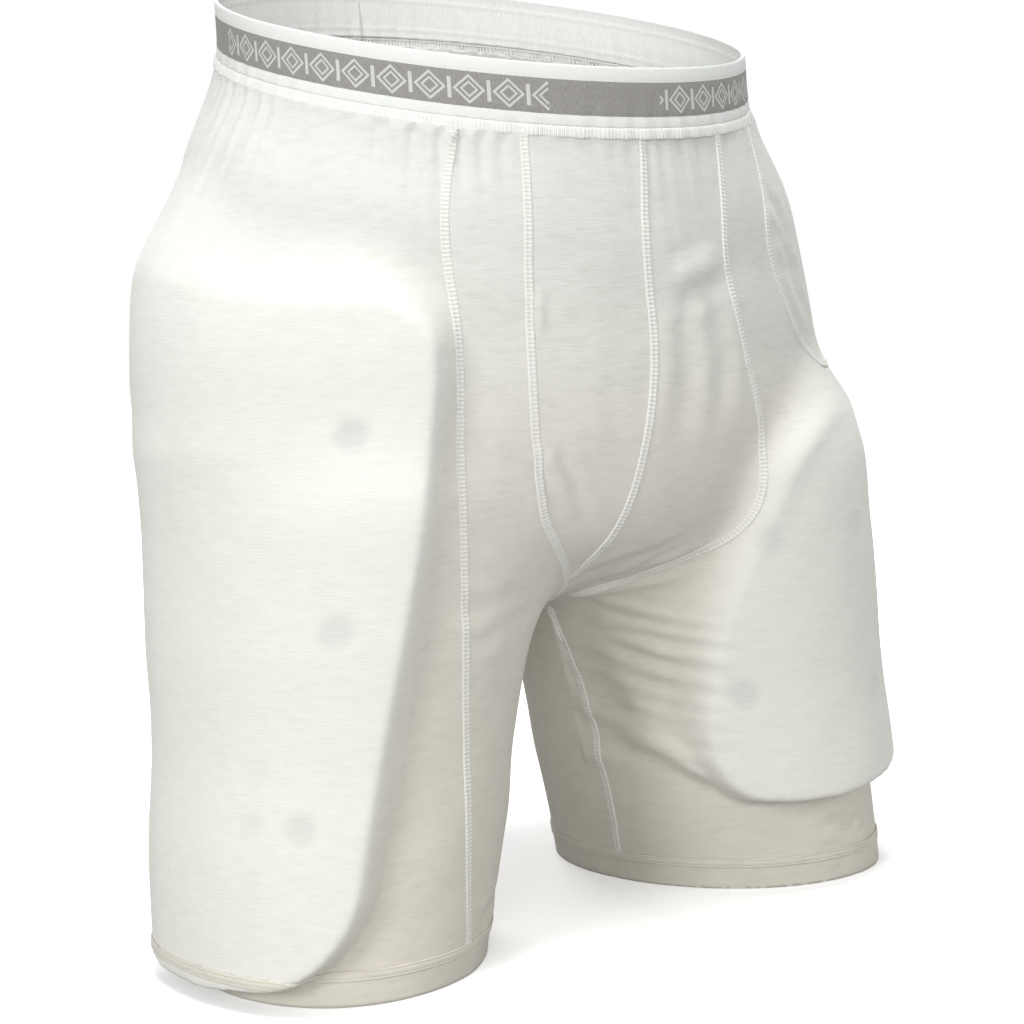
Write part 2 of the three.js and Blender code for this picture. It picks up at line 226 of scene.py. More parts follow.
def closedForm(into, around, rings, place):
    bm = mappedGrid(around, rings, place, wrapped=True)
    bmesh.ops.holes_fill(bm, edges=[e for e in bm.edges if e.is_boundary], sides=0)
    bmesh.ops.recalc_face_normals(bm, faces=bm.faces)
    mesh = bpy.data.meshes.new("form")
    bm.to_mesh(mesh)
    bm.free()
    into.from_mesh(mesh)
    bpy.data.meshes.remove(mesh)


def buildForm():
    bm = bmesh.new()
    low, high = trunk["crotchLevel"] + 0.5, trunk["waistLevel"] + skinSettings["pastWaist"]
    closedForm(bm, 120, 110, lambda u, v: trunkPoint((u - 0.5) * 2 * math.pi, mix(low, high, v)))
    for side in (-1, 1):
        closedForm(bm, 96, 90, lambda u, v: legPoint(
            side, (u - 0.5) * 2 * math.pi, mix(-skinSettings["pastHem"], leg["top"], v)))
    form = newPiece("form", bm)
    joined = form.modifiers.new("joined", "REMESH")
    joined.mode, joined.voxel_size = "VOXEL", skinSettings["voxel"] * mm
    applyModifiers(form)
    return form


# Gives a function that averages each point's neighbours along the mesh's edges
def neighbourMean(mesh):
    ends = np.empty(len(mesh.edges) * 2, np.int32)
    mesh.edges.foreach_get("vertices", ends)
    ends = ends.reshape(-1, 2)
    both = np.concatenate([ends, ends[:, ::-1]])
    size = len(mesh.vertices)
    count = np.bincount(both[:, 0], minlength=size)[:, None]

    def mean(points):
        sums = [np.bincount(both[:, 0], points[both[:, 1], axis], size) for axis in range(3)]
        return np.stack(sums, axis=1) / count

    return mean


def relax(mesh, rounds, strength=0.5):
    points, mean = readPoints(mesh), neighbourMean(mesh)
    for _ in range(rounds):
        points = points + strength * (mean(points) - points)
    writePoints(mesh, points)


# Stretched cloth bridges the hollows of what it covers, so points only ever move outwards.
def bridgeHollows(mesh, rounds, shareOf):
    points, mean = readPoints(mesh), neighbourMean(mesh)
    share = shareOf(points)[:, None]
    for step in range(rounds):
        if step % 15 == 0:
            writePoints(mesh, points)
            normals = readNormals(mesh)
        outward = ((mean(points) - points) * normals).sum(axis=1)[:, None]
        points = points + normals * np.maximum(outward, 0) * share
    writePoints(mesh, points)


def groinShare(points):
    x, y, z = points.T
    front = easeStep(-y, 8, 40) * easeStep(z, 90, 150) * (1 - np.exp(-((x / 13) ** 2)) * (z < 190))
    outside = easeStep(np.abs(x), 125, 155) * easeStep(z, 40, 120)
    return np.maximum(front, outside)


skin = buildForm()
relax(skin.data, skinSettings["smoothing"])
bridgeHollows(skin.data, skinSettings["bridging"], groinShare)
relax(skin.data, 3)
finer = skin.modifiers.new("finer", "SUBSURF")
finer.levels = finer.render_levels = 1
applyModifiers(skin)
print("body form joined:", len(skin.data.vertices), "points")


# Each pad's raised face under the cloth. Its side edges are turns in degrees by height, and its ends are
# heights by turn. A vent is its turn, its height and how clearly it shows.
rightPad = {
    "side": -1, "corner": 44.0, "topCorner": 24.0, "bulge": 17.0, "sideLift": 3.0,
    "innerEdge": ([0, 52, 115, 194, 247, 340], [29, 28, 25, 21, 19, 18]), "outerEdge": ([0, 340], [97, 99]),
    "bottomEnd": ([20, 50, 80], [15, 22, 27]), "topEnd": ([18, 60, 95], [335, 341, 357]),
    "innerFall": 17.0, "bottomFall": 11.0, "topFall": ([18, 60, 95], [30, 38, 62]),
    "outerEase": 74.0, "outerFall": ([0, 30, 55, 78, 92], [1, 0.9, 0.66, 0.2, 0]),
    "sag": ([25, 50, 75, 110], [2, 10, 19, 19]), "sagOver": 62.0, "apron": 0.0,
    "vents": [
        (34, 276, 1.0), (35, 184, 0.85), (41, 90, 0.8), (55, 90, 0.35), (72, 276, 0.05), (70, 184, 0.05),
        (106, 276, 0.1), (102, 184, 0.1),
    ],
}
leftPad = {
    "side": 1, "corner": 24.0, "topCorner": 34.0, "bulge": 16.5, "sideLift": 2.0,
    "innerEdge": ([38, 66, 99, 146, 225, 275, 300], [-33, -33, -31, -25, -6, 8, 14]),
    "outerEdge": ([40, 300], [60, 63]),
    "bottomEnd": ([-80, -63, -49, -40, -31, -15, 0, 13, 40, 60], [99, 89, 80, 72, 66, 61, 60, 62, 70, 80]),
    "topEnd": ([-20, 60], [262, 262]),
    "innerFall": 26.0, "bottomFall": 12.0, "topFall": ([-20, 60], [46, 46]),
    "outerEase": 5.0, "outerFall": ([0, 8, 18, 24], [1, 0.75, 0.15, 0]),
    "sag": ([-45, -20, 60], [2, 5, 5]), "sagOver": 28.0, "apron": 0.5,
    "vents": [
        (-12, 201, 0.55), (-23, 117, 0.9), (17, 202, 0.4), (21, 107, 0.45), (46, 200, 0.1), (48, 108, 0.1),
    ],
}
around = 106.0  # millimetres of cloth in a radian of turn


def padRise(pad, points):
    side, z = pad["side"], points[:, 2]
    turn = legTurn(side, points)
    innerTurn, outerTurn = smoothThrough(z, *pad["innerEdge"]), np.interp(z, *pad["outerEdge"])
    inner, outer = np.radians(turn - innerTurn) * around, np.radians(turn - outerTurn) * around
    upper, lower = smoothThrough(turn, *pad["topEnd"]) - z, z - smoothThrough(turn, *pad["bottomEnd"])
    # distances in from each edge, in shares of that edge's fall, with the corners rounded
    corner = np.where(upper < lower, pad["topCorner"], pad["corner"])
    nearSide = np.maximum(corner - np.minimum(inner, pad["outerEase"] - outer), 0)
    nearEnd = np.maximum(corner - np.minimum(upper, lower), 0)
    inside = corner - np.hypot(nearSide, nearEnd)
    upness = nearEnd / np.maximum(nearEnd + nearSide, 1e-6)
    endFall = np.where(upper < lower, np.interp(turn, *pad["topFall"]), pad["bottomFall"])
    share = np.clip(1 + inside / mix(pad["innerFall"], endFall, upness), 0, 1)
    rise = share**2 * (3 - 2 * share)
    # loose cloth runs on past the inner lower corner in a low lip
    past = easeStep(turn, -78, innerTurn + 4)
    apron = pad["apron"] * past * easeStep(lower, -9, 3) * np.exp(-((np.maximum(lower, 0) / 30) ** 2))
    rise = np.maximum(rise, apron)
    rise = rise * np.interp(outer, *pad["outerFall"]) * (side * points[:, 0] > -8)
    flat = pad["sideLift"] * np.clip(np.abs(turn - (innerTurn + outerTurn) / 2) / 42, 0, 1.1) ** 2
    sag = np.interp(turn, *pad["sag"]) * rise * easeStep(-lower, -pad["sagOver"], 0)
    return rise * (pad["bulge"] + flat), rise, turn, sag


def ventsOf(pad, points, turn):
    near = np.zeros(len(points))
    for ventTurn, height, shows in pad["vents"]:
        gap = np.hypot(np.radians(turn - ventTurn) * around * 1.12, points[:, 2] - height)
        near = np.maximum(near, shows * easeStep(-gap, -11.5, -4.5))
    return near


barePoints = readPoints(skin.data)
shape = barePoints.copy()
padCover, vents = np.zeros(len(shape)), np.zeros(len(shape))
for pad in (rightPad, leftPad):
    height, cover, turn, sag = padRise(pad, barePoints)
    spots = ventsOf(pad, barePoints, turn) * (cover > 0.5)
    away = shape * (1, 1, 0)
    away[:, 0] -= pad["side"] * legSpread(shape[:, 2])
    away /= np.linalg.norm(away, axis=1)[:, None]
    shape += away * (height - 0.9 * spots)[:, None]
    shape[:, 2] -= sag  # the lower edge hangs over the cloth that tucks in under it
    padCover, vents = np.maximum(padCover, cover), np.maximum(vents, spots)
writePoints(skin.data, shape)
relax(skin.data, 2, 0.4)


def padHollowShare(points):  # the front, above the pads' lower lips, and not the vents
    return easeStep(points[:, 2], 66, 96) * (1 - vents) * easeStep(-points[:, 1], -60, -20)


bridgeHollows(skin.data, 34, padHollowShare)
print("pads raised")


# Each fold is a valley between two soft ridges, or a ridge where its depth is negative:
# (x, z) points along it in front elevation, then its depth and width
folds = [
    # from the crotch over the left thigh
    ([(14, 171), (32, 160), (46, 154), (62, 150)], 2.2, 2.6),
    ([(14, 168), (32, 153), (46, 146), (66, 141)], 2.6, 2.8),
    ([(15, 164), (32, 145), (44, 134), (64, 127)], 3.0, 3.0),
    ([(17, 158), (33, 133), (45, 122), (62, 114)], 3.0, 3.2),
    ([(20, 148), (34, 122), (46, 110), (62, 103)], 2.6, 3.2),
    ([(24, 134), (39, 106), (50, 98), (66, 92)], 2.8, 3.4),
    ([(28, 120), (42, 96), (54, 88), (68, 82)], 2.4, 3.4),
    ([(28, 106), (34, 96), (42, 82), (53, 72)], 3.2, 4.0),
    # under the pouch
    ([(4, 182), (20, 187), (40, 191), (60, 200)], 2.6, 2.8),
    ([(4, 179), (22, 182), (40, 186), (56, 192)], 2.2, 2.4),
    ([(6, 186), (22, 194), (40, 201)], 1.8, 2.6),
    ([(-22, 190), (0, 197), (24, 202), (46, 210)], 1.4, 3.6),
    # over the pouch
    ([(-67, 262), (-54, 240), (-40, 220)], -1.3, 3.4),
    ([(-62, 262), (-48, 236), (-36, 218)], 0.9, 3.4),
    ([(4, 324), (2, 296), (-4, 256)], -0.55, 5.0),
    ([(16, 328), (17, 296), (8, 250)], 0.6, 5.0),
    ([(27, 330), (31, 298), (22, 246)], -0.6, 5.0),
    ([(38, 332), (44, 300), (38, 252)], 0.6, 5.0),
    ([(50, 326), (56, 300), (52, 262)], -0.5, 5.0),
    ([(-34, 300), (-31, 276), (-25, 246)], 0.35, 5.0),
    ([(12, 340), (34, 345), (54, 352)], -1.0, 6.0),
    ([(14, 332), (36, 338), (58, 345)], 0.9, 6.0),
    ([(-67, 336), (-66, 327), (-66, 316)], -1.1, 2.6),
    # left hip, left hem, and the right side of the crotch
    ([(104, 384), (118, 366), (130, 352)], 1.4, 4.4),
    ([(108, 366), (122, 346), (136, 330)], 1.6, 4.6),
    ([(112, 348), (126, 330), (140, 314)], 1.4, 4.4),
    ([(128, 34), (150, 30), (170, 37)], 1.4, 3.4),
    ([(138, 27), (156, 24), (172, 30)], 1.2, 3.0),
    ([(-118, 190), (-100, 186), (-80, 189), (-40, 184)], 0.7, 5.0),
    ([(-104, 170), (-84, 176), (-60, 178), (-30, 178)], 0.7, 4.4),
    ([(-96, 24), (-80, 28), (-64, 34)], 1.3, 3.6),
]
gathers = {"depth": 1.25, "reach": 30.0, "pitch": 11.5, "finePitch": 7.3, "elsewhere": 0.3}
hipHollow = {"height": 246.0, "reach": 24.0, "fill": 2.6}  # where the hips meet the thighs outside
unevenness = {"size": 30.0, "depth": 0.8}
waistRadius = 138.0


def foldShape(points, line, depth, width):
    flat = points[:, [0, 2]]
    nearest, along = np.full(len(points), 1e9), np.zeros(len(points))
    line = np.array(line, float)
    lengths = np.concatenate([[0], np.cumsum(np.linalg.norm(np.diff(line, axis=0), axis=1))])
    for start, end, before, span in zip(line[:-1], line[1:], lengths, np.diff(lengths)):
        run = end - start
        t = np.clip(((flat - start) @ run) / (run @ run), 0, 1)
        gap = np.linalg.norm(flat - start - t[:, None] * run, axis=1)
        closer = gap < nearest
        nearest[closer], along[closer] = gap[closer], (before + t * span)[closer] / lengths[-1]
    fade = np.minimum(easeStep(along, -0.06, 0.14), easeStep(-along, -1.05, -0.45))
    ends = np.exp(-((nearest / (2.2 * width)) ** 2))
    valley = np.exp(-((nearest / width) ** 2)) - 0.55 * np.exp(-(((nearest - 2.1 * width) / width) ** 2))
    return -depth * valley * fade * (ends > 1e-4) * (points[:, 1] < -2)


# Small gathers hang from the waistband, deepest at the wearer's right
def gatherShape(points):
    turn = np.arctan2(points[:, 0] / trunk["waist"][0], -points[:, 1] / trunk["waist"][1])
    arc = turn * waistRadius
    below = np.maximum(trunk["bandLevel"] - levelOf(points), 0)
    wander = 5 * np.sin(arc / 31 + 1.3) + 3 * np.sin(arc / 13.7) + below * 0.05 * np.sin(arc / 47)
    ripple = np.sin((arc + wander) * 2 * math.pi / gathers["pitch"])
    ripple = ripple + 0.5 * np.sin((arc - wander) * 2 * math.pi / gathers["finePitch"] + 1)
    strength = mix(gathers["elsewhere"], 1, easeStep(-points[:, 0], 48, 80))
    strength = strength * (0.6 + 0.4 * np.sin(arc / 19 + 0.7))
    fade = np.exp(-below / gathers["reach"]) * easeStep(below, 0, 3)
    return gathers["depth"] * ripple * strength * fade


points, normals = readPoints(skin.data), readNormals(skin.data)
move = gatherShape(points)
for line, depth, width in folds:
    move += foldShape(points, line, depth, width)
share = np.exp(-(((points[:, 2] - hipHollow["height"]) / hipHollow["reach"]) ** 2))
move += hipHollow["fill"] * share * easeStep(np.abs(points[:, 0]), 120, 165)
lumps = np.array([noise.noise(Vector(p) / unevenness["size"]) for p in points])
move += unevenness["depth"] * (1 - 0.6 * padCover) * lumps
writePoints(skin.data, points + normals * move[:, None])
print("folds and gathers made")


# Seam lines in front elevation, as x by height from the waist down
seamLines = {
    "right_front_seam": [
        (-88, 552), (-92, 424), (-105, 374), (-106, 330), (-110, 204), (-109, 103), (-108, -17),
    ],
    "right_pouch_seam": [
        (-58, 550), (-62, 418), (-70, 345), (-72, 267), (-62, 226), (-27, 188), (-12, 175), (0, 172),
    ],
    "centre_front_seam": [(6, 550), (2, 415), (-4, 361), (-5, 298), (-15, 244), (-27, 188)],
    "left_pouch_seam": [(62, 550), (60, 418), (52, 348), (62, 298), (74, 257), (56, 200), (0, 172)],
    "left_front_seam": [(92, 550), (99, 399), (96, 348), (121, 307), (150, 286)],
    "right_back_seam": [(-84, 613), (-92, 424), (-103, 314), (-112, 172), (-117, 86), (-119, -17)],
    "left_back_seam": [(84, 613), (92, 424), (103, 314), (112, 172), (117, 86), (119, -17)],
}
hemTop = 17.0
pocketTop = 288.0  # the left front seam turns down beside the pad here
besidePad = 67.0  # at this turn
innerLegLine = ([-30, 23, 42, 72, 102, 136, 161, 190], [-10, -12, -15, -15, -12, -5, -2, -2])  # y by height


def seamX(name, z):
    line = seamLines[name][::-1]
    heights, places = [p[1] for p in line], [p[0] for p in line]
    if name in ("left_pouch_seam", "right_pouch_seam"):
        return np.interp(z, heights, places) * 0.35 + smoothThrough(z, heights, places) * 0.65
    return smoothThrough(z, heights, places)


def innerLegY(z):
    return smoothThrough(z, *innerLegLine)


centreLow, crotchLow = 188.0, 173.0


def inFront(points):
    return points[:, 1] < innerLegY(points[:, 2])


# How far points lie past a seam line, and the cloth that the seam crosses
def pastSeam(name):
    return lambda p: p[:, 0] - seamX(name, p[:, 2])


def frontAbove(low):
    return lambda p: (p[:, 1] < 0) & (p[:, 2] > low)


cuts = [
    (pastSeam("right_front_seam"), lambda p: (p[:, 1] < 0) & (p[:, 0] < -60)),
    (pastSeam("right_pouch_seam"), frontAbove(crotchLow)),
    (pastSeam("centre_front_seam"), frontAbove(centreLow)),
    (pastSeam("left_pouch_seam"), frontAbove(crotchLow)),
    (pastSeam("left_front_seam"), frontAbove(pocketTop - 3)),
    (lambda p: legTurn(1, p) - besidePad, lambda p: (p[:, 2] < pocketTop + 3) & (p[:, 0] > 90)),
    (pastSeam("right_back_seam"), lambda p: (p[:, 1] > 0) & (p[:, 0] < -50)),
    (pastSeam("left_back_seam"), lambda p: (p[:, 1] > 0) & (p[:, 0] > 50)),
    (lambda p: p[:, 0], lambda p: (p[:, 1] > -30) & (p[:, 2] > 120)),
    (
        lambda p: p[:, 1] - innerLegY(p[:, 2]),
        lambda p: (p[:, 2] < 190) & (np.abs(p[:, 0]) < legSpread(p[:, 2])),
    ),
]


def cutAlong(bm, field, where):
    bm.verts.ensure_lookup_table()
    points = np.array([v.co[:] for v in bm.verts]) / mm - middle
    values, allowed = field(points), where(points)
    shares, crossed = {}, []
    for edge in bm.edges:
        a, b = edge.verts[0].index, edge.verts[1].index
        if allowed[a] and allowed[b] and values[a] * values[b] < 0:
            crossed.append(edge)
            shares[edge] = min(0.92, max(0.08, values[a] / (values[a] - values[b])))
    made = bmesh.ops.bisect_edges(bm, edges=crossed, cuts=1, edge_percents=shares)
    fresh = [g for g in made["geom_split"] if isinstance(g, bmesh.types.BMVert)]
    bmesh.ops.connect_verts(bm, verts=fresh)
    bm.verts.index_update()


def regionOf(points):
    x, z = points[:, 0], points[:, 2]
    front = inFront(points)
    rightFront, leftPouch = seamX("right_front_seam", z), seamX("left_pouch_seam", z)
    rightPouch, centre = seamX("right_pouch_seam", z), seamX("centre_front_seam", z)
    centre = np.where(z > centreLow, centre, rightPouch)
    turn = legTurn(1, points)
    outerLeft = np.where(z > pocketTop, x > seamX("left_front_seam", z), turn > besidePad)
    region = np.full(len(points), "left_front_panel", dtype=object)
    region[outerLeft] = "left_side_panel"
    region[(x < leftPouch) & (z > crotchLow)] = "left_pouch_panel"
    region[(x < centre) & (z > crotchLow)] = "right_pouch_panel"
    region[np.where(z > crotchLow, x < rightPouch, x < 0)] = "right_front_panel"
    region[x < rightFront] = "right_side_panel"
    back = np.full(len(points), "left_seat_panel", dtype=object)
    back[x < 0] = "right_seat_panel"
    back[x < seamX("right_back_seam", z)] = "right_side_panel"
    back[x > seamX("left_back_seam", z)] = "left_side_panel"
    region = np.where(front, region, back)
    # the outsides of the legs belong to the side panels however far round they come
    region[(x > 0) & (turn > besidePad) & (z < pocketTop) & front] = "left_side_panel"
    region[(z < hemTop) & (x < 0)] = "right_hem_band"
    region[(z < hemTop) & (x >= 0)] = "left_hem_band"
    return region


bm = bmesh.new()
bm.from_mesh(skin.data)
coverLayer, ventLayer = bm.verts.layers.float.new("padCover"), bm.verts.layers.float.new("vent")
bareLayer = bm.verts.layers.float_vector.new("bare")
for vert, cover, spot, bare in zip(bm.verts, padCover, vents, toMetres(barePoints)):
    vert[coverLayer], vert[ventLayer], vert[bareLayer] = cover, spot, bare


def sliceAt(bm, point, normal, clear):
    bmesh.ops.bisect_plane(
        bm, geom=bm.verts[:] + bm.edges[:] + bm.faces[:], dist=0.00001,
        plane_co=toMetres(np.array(point, float)), plane_no=normal, clear_outer=clear)
    bm.verts.index_update()


sliceAt(bm, (0, 0, trunk["bandLevel"] + 1), (0, -trunk["tilt"], 1), True)
sliceAt(bm, (0, 0, 0.2), (0, 0, -1), True)
sliceAt(bm, (0, 0, hemTop), (0, 0, 1), False)
for field, where in cuts:
    cutAlong(bm, field, where)
bm.faces.ensure_lookup_table()
centres = np.array([f.calc_center_median()[:] for f in bm.faces]) / mm - middle
faceRegions = regionOf(centres)
tree = BVHTree.FromBMesh(bm)
print("cloth cut along its seams:", len(bm.faces), "faces")


class Finish:
    def __init__(self, name, colour, roughness):
        self.material = bpy.data.materials.new(name)
        self.material.use_nodes = True
        self.nodes, self.links = self.material.node_tree.nodes, self.material.node_tree.links
        self.shader = self.nodes["Principled BSDF"]
        self.shader.inputs["Base Color"].default_value = (*colour, 1)
        self.shader.inputs["Roughness"].default_value = roughness

    def node(self, kind, **values):
        node = self.nodes.new("ShaderNode" + kind)
        for key, value in values.items():
            if key in node.inputs:
                node.inputs[key].default_value = value
            else:
                setattr(node, key, value)
        return node

    def link(self, source, target):
        self.links.new(source, target)
        return self

    def place(self, scale=(1, 1, 1), uv=None):
        if uv:
            source = self.node("UVMap", uv_map=uv).outputs["UV"]
        else:
            source = self.node("TexCoord").outputs["Object"]
        mapping = self.node("Mapping", Scale=scale)
        self.link(source, mapping.inputs["Vector"])
        return mapping.outputs["Vector"]

    def noise(self, place, scale, detail=3.0, rough=0.6):
        made = self.node("TexNoise", Scale=scale, Detail=detail, Roughness=rough)
        self.link(place, made.inputs["Vector"])
        return made.outputs["Fac"]

    def maths(self, kind, a, b=None, c=None):
        made = self.node("Math", operation=kind)
        for socket, value in zip(made.inputs, (a, b, c)):
            if value is None:
                continue
            if isinstance(value, (int, float)):
                socket.default_value = value
            else:
                self.link(value, socket)
        return made.outputs[0]

    def ramp(self, value, stops):
        made = self.node("ValToRGB")
        first, last = made.color_ramp.elements
        first.position, last.position = stops[0][0], stops[-1][0]
        for position, _ in stops[1:-1]:
            made.color_ramp.elements.new(position)
        for element, (_, colour) in zip(made.color_ramp.elements, stops):
            element.color = (*colour, 1)
        self.link(value, made.inputs["Fac"])
        return made.outputs["Color"]

    def blend(self, share, low, high, kind="MIX"):
        made = self.node("Mix", data_type="RGBA", blend_type=kind)
        for socket, value in ((made.inputs[0], share), (made.inputs[6], low), (made.inputs[7], high)):
            if isinstance(value, tuple):
                socket.default_value = (*value, 1)
            elif isinstance(value, (int, float)):
                socket.default_value = value
            else:
                self.link(value, socket)
        return made.outputs[2]

    def colour(self, source):
        return self.link(source, self.shader.inputs["Base Color"])

    def bump(self, height, strength, distance):
        made = self.node("Bump", Strength=strength, Distance=distance)
        self.link(height, made.inputs["Height"])
        if self.shader.inputs["Normal"].is_linked:
            self.link(self.shader.inputs["Normal"].links[0].from_socket, made.inputs["Normal"])
        return self.link(made.outputs["Normal"], self.shader.inputs["Normal"])

    def sheen(self, weight, roughness):
        self.shader.inputs["Sheen Weight"].default_value = weight
        self.shader.inputs["Sheen Roughness"].default_value = roughness
        return self


def tinted(colour, share):
    return tuple(share * c for c in colour)


seam = {"width": 5.2, "height": 0.8, "pitch": 2.1, "step": 0.5, "columns": 10}
coverstitch = {"width": 5.4, "height": 0.5, "pitch": 2.6, "step": 0.65, "columns": 12}
jersey = {
    "light": (0.685, 0.68, 0.65), "dark": (0.63, 0.625, 0.59),
    "overPad": (0.81, 0.812, 0.762), "vent": (0.56, 0.56, 0.54),
    "streak": 1500.0, "mottle": 240.0,
}


def jerseyFinish():
    cloth = Finish("cottonJersey", jersey["light"], 0.88).sheen(0.18, 0.5)
    streaks = cloth.noise(cloth.place((0.055, 0.055, 1)), jersey["streak"], 2.0, 0.55)
    mottle = cloth.noise(cloth.place((0.35, 0.35, 1)), jersey["mottle"], 4.0, 0.6)
    cloud = cloth.noise(cloth.place(), 17.0, 3.0, 0.5)
    weft = cloth.maths("ADD", cloth.maths("MULTIPLY", streaks, 0.42), cloth.maths("MULTIPLY", mottle, 0.58))
    bright = tinted(jersey["light"], 1.04)
    base = cloth.ramp(weft, [(0.36, jersey["dark"]), (0.5, jersey["light"]), (0.68, bright)])
    base = cloth.blend(cloth.maths("MULTIPLY", cloud, 0.35), base, jersey["dark"])
    # painted shade: the white is made warmer and darker down the legs, standing in for warm floor bounce and
    # shade low down, and cooler at the hips
    height = cloth.node("SeparateXYZ")
    cloth.link(cloth.place(), height.inputs[0])
    paintedLowShade = cloth.ramp(height.outputs[2], [
        (0.02, (1.0, 0.955, 0.86)), (0.2, (1.0, 0.97, 0.90)),
        (0.34, (0.985, 0.99, 0.97)), (0.43, (0.97, 1.0, 1.0)),
    ])
    base = cloth.blend(0.85, base, paintedLowShade, "MULTIPLY")
    cover = cloth.node("Attribute", attribute_name="padCover").outputs["Fac"]
    padTone = cloth.ramp(weft, [(0.34, tinted(jersey["overPad"], 0.95)), (0.62, jersey["overPad"])])
    base = cloth.blend(cloth.maths("MULTIPLY", cover, 0.8), base, padTone)
    spot = cloth.node("Attribute", attribute_name="vent").outputs["Fac"]
    hatch = cloth.noise(cloth.place((0.1, 0.1, 1)), 1000.0, 2.0, 0.7)
    shade = cloth.maths("MULTIPLY", spot, cloth.maths("MULTIPLY_ADD", hatch, 0.75, 0.08))
    cloth.colour(cloth.blend(shade, base, jersey["vent"]))
    loops = cloth.node("TexWave", bands_direction="Z", Scale=190.0, Distortion=5.0, Detail=3.0)
    cloth.link(cloth.place(), loops.inputs["Vector"])
    cloth.bump(loops.outputs["Fac"], 0.05, 0.0003)
    cloth.bump(mottle, 0.32, 0.0006)
    cloth.bump(streaks, 0.18, 0.0003)
    return cloth.material


def threadFinish():
    thread = Finish("seamThread", (0.80, 0.795, 0.75), 0.7).sheen(0.15, 0.4)
    twist = thread.noise(thread.place(), 1800.0, 2.0, 0.6)
    base = thread.ramp(twist, [(0.3, (0.72, 0.71, 0.665)), (0.6, (0.80, 0.795, 0.75))])
    split = thread.node("SeparateXYZ")
    thread.link(thread.node("UVMap", uv_map="cloth").outputs["UV"], split.inputs[0])
    m = thread.maths
    rung = m("COSINE", m("MULTIPLY", split.outputs[0], 2 * math.pi / (seam["pitch"] * mm)))
    # painted shade: the recessed gaps between the raised stitch rungs are coloured darker
    rungGapShade = m("MULTIPLY", m("GREATER_THAN", m("MULTIPLY", rung, -1.0), 0.1), 0.32)
    thread.colour(thread.blend(rungGapShade, base, (0.56, 0.55, 0.51)))
    thread.bump(twist, 0.3, 0.0002)
    return thread.material


waistband = {
    "height": 29.7, "greyFrom": 5.4, "greyTo": 22.3,  # the stripe, in millimetres up the elastic
    "white": (0.80, 0.82, 0.79), "grey": (0.295, 0.285, 0.27), "motif": (0.66, 0.66, 0.64),
    "cell": 0.0185, "group": 0.249, "groupShare": 0.76, "groupFrom": 0.013,
}


# White outlined lozenges and bars in groups along the grey stripe
def elasticFinish():
    band = Finish("wovenElastic", waistband["white"], 0.72).sheen(0.1, 0.4)
    split = band.node("SeparateXYZ")
    band.link(band.node("UVMap", uv_map="cloth").outputs["UV"], split.inputs[0])
    u, v = split.outputs[0], split.outputs[1]
    m = band.maths
    low, high = waistband["greyFrom"] * mm, waistband["greyTo"] * mm
    centre, half = (low + high) / 2, (high - low) / 2
    up = m("DIVIDE", m("SUBTRACT", v, centre), half)  # -1 to 1 over the stripe
    fray = m("MULTIPLY", m("SUBTRACT", band.noise(band.place((1, 1, 1), "cloth"), 900.0, 2.0), 0.5), 0.06)
    stripe = m("LESS_THAN", m("ABSOLUTE", m("ADD", up, fray)), 1.0)
    cell = m("FRACT", m("DIVIDE", m("ADD", u, 1.0), waistband["cell"]))
    cell = m("SUBTRACT", m("MULTIPLY", cell, 2.0), 1.0)  # -1 to 1 along each lozenge
    lozenge = m("ADD", m("ABSOLUTE", cell), m("MULTIPLY", m("ABSOLUTE", up), 0.98))
    outline = m("LESS_THAN", m("ABSOLUTE", m("SUBTRACT", lozenge, 0.74)), 0.085)
    inner = m("LESS_THAN", m("ABSOLUTE", m("SUBTRACT", lozenge, 0.40)), 0.07)
    barSides, barEnds = m("GREATER_THAN", m("ABSOLUTE", cell), 0.9), m("LESS_THAN", m("ABSOLUTE", up), 0.6)
    bars = m("MULTIPLY", barSides, barEnds)
    groupStart = waistband["group"] * 4 - waistband["groupFrom"]  # whole groups, so that it stays positive
    along = m("FRACT", m("DIVIDE", m("ADD", u, groupStart), waistband["group"]))
    grouped = m("LESS_THAN", along, waistband["groupShare"])
    drawn = m("MULTIPLY", m("MINIMUM", m("ADD", m("ADD", outline, inner), bars), 1.0), grouped)
    weave = band.noise(band.place((1, 0.25, 1), "cloth"), 1500.0, 2.0, 0.6)
    white = band.ramp(weave, [(0.3, tinted(waistband["white"], 0.93)), (0.65, waistband["white"])])
    grey = band.ramp(weave, [(0.3, tinted(waistband["grey"], 0.86)), (0.68, tinted(waistband["grey"], 1.12))])
    grey = band.blend(m("MULTIPLY", drawn, 0.86), grey, waistband["motif"])
    band.colour(band.blend(stripe, white, grey))
    ribs = band.node("TexWave", wave_type="BANDS", bands_direction="X", Scale=420.0, Distortion=0.4)
    band.link(band.place((1, 1, 1), "cloth"), ribs.inputs["Vector"])
    band.bump(ribs.outputs["Fac"], 0.18, 0.0004)
    band.bump(m("ADD", weave, m("MULTIPLY", drawn, 0.4)), 0.25, 0.0004)
    return band.material


def elasticBackFinish():
    back = Finish("elasticInside", waistband["white"], 0.8)
    weave = back.noise(back.place((1, 1, 0.25)), 1300.0, 2.0, 0.6)
    back.colour(back.ramp(weave, [(0.3, (0.76, 0.77, 0.75)), (0.65, (0.85, 0.86, 0.84))]))
    back.bump(weave, 0.25, 0.0004)
    return back.material


def bindingFinish():
    binding = Finish("ribbedBinding", (0.82, 0.83, 0.80), 0.78).sheen(0.1, 0.4)
    ribs = binding.node("TexWave", wave_type="BANDS", bands_direction="X", Scale=330.0, Distortion=0.6)
    binding.link(binding.place((1, 1, 1), "cloth"), ribs.inputs["Vector"])
    # painted shade: the rib grooves are coloured darker than the raised ribs
    colours = [(0.1, (0.72, 0.73, 0.70)), (0.7, (0.845, 0.855, 0.83))]
    binding.colour(binding.ramp(ribs.outputs["Fac"], colours))
    binding.bump(ribs.outputs["Fac"], 0.35, 0.0006)
    return binding.material


